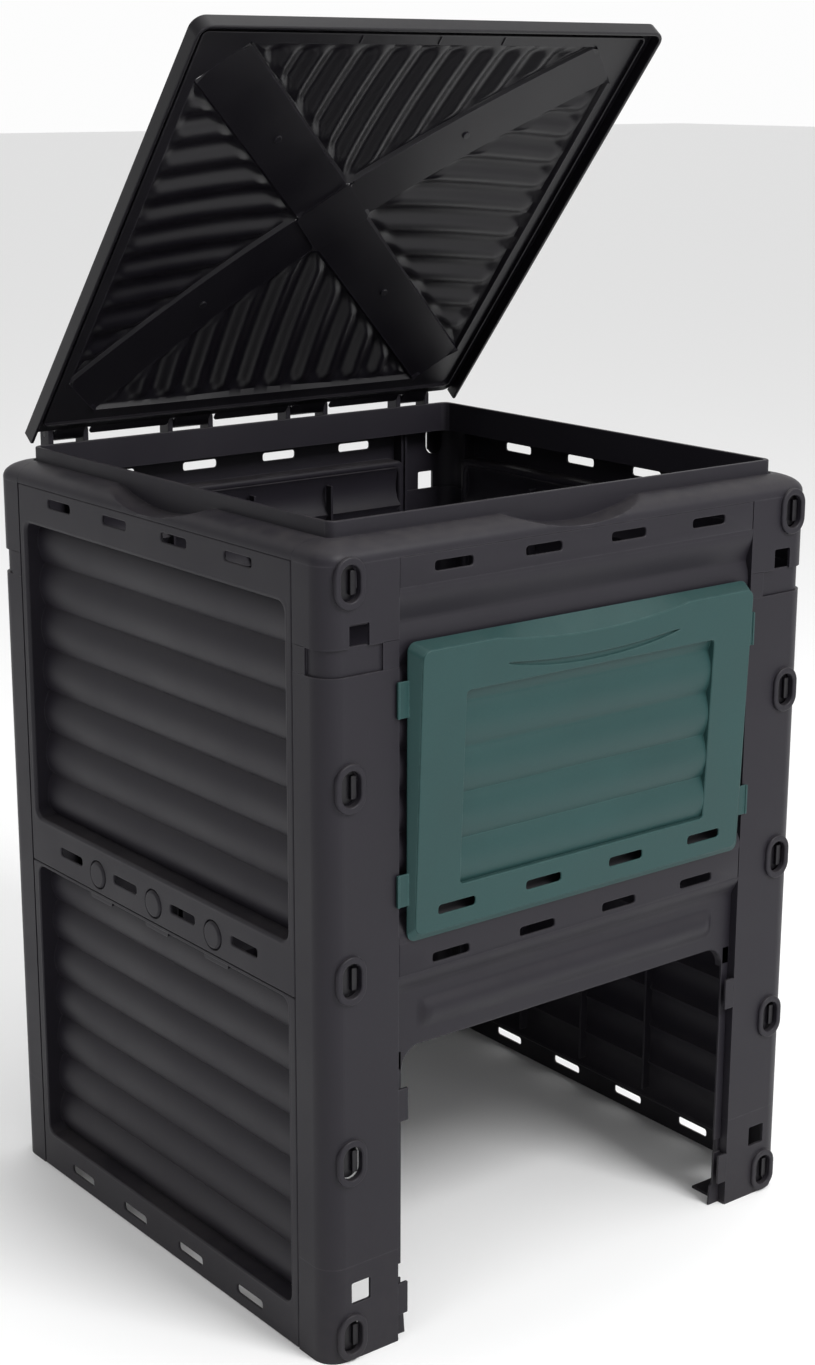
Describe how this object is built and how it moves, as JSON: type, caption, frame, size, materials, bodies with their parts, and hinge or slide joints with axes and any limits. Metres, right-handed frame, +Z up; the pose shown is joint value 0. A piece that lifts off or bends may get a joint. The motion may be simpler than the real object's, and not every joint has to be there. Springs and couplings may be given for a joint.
{
  "type": "compost bin",
  "caption": "Square upright compost bin of snapped wall panels and corner posts, with a back-hinged lid and a sliding harvest door at the front.",
  "frame": {"origin": "on the ground, at the centre of the whole footprint with the door raised in front", "axes": "+Z up, -Y out of the front where the harvest door is, +X to the right seen from the front"},
  "size_m": [0.613, 0.6013, 1.2232],
  "materials": {
    "body": "matte",
    "lid": "matte",
    "door": "satin"
  },
  "bodies": {
    "bin": {"left_upper_panel": "body", "left_lower_panel": "body", "right_upper_panel": "body", "right_lower_panel": "body", "back_upper_panel": "body", "back_lower_panel": "body", "front_upper_panel": "body", "front_header": "body", "front_jamb_left": "body", "front_jamb_right": "body", "door_clips": "body", "front_left_foot": "body", "front_left_post": "body", "front_left_cap": "body", "front_right_foot": "body", "front_right_post": "body", "front_right_cap": "body", "back_left_foot": "body", "back_left_post": "body", "back_left_cap": "body", "back_right_foot": "body", "back_right_post": "body", "back_right_cap": "body", "front_rim": "body", "back_rim": "body", "left_rim": "body", "right_rim": "body", "lock_keys": "body", "hinge_lugs": "body", "hinge_pins": "body"},
    "lid": {"lid": "lid"},
    "door": {"door": "door"}
  },
  "joints": [
    {"name": "lid_hinge", "type": "hinge", "parent": "bin", "child": "lid", "pos_m": [0, 0.282, 0.808], "axis": [-1, 0, 0], "range_deg": [-50.7, 54]},
    {"name": "door_slide", "type": "slide", "parent": "bin", "child": "door", "axis": [0, 0, 1], "range_m": [-0.39, 0]}
  ]
}
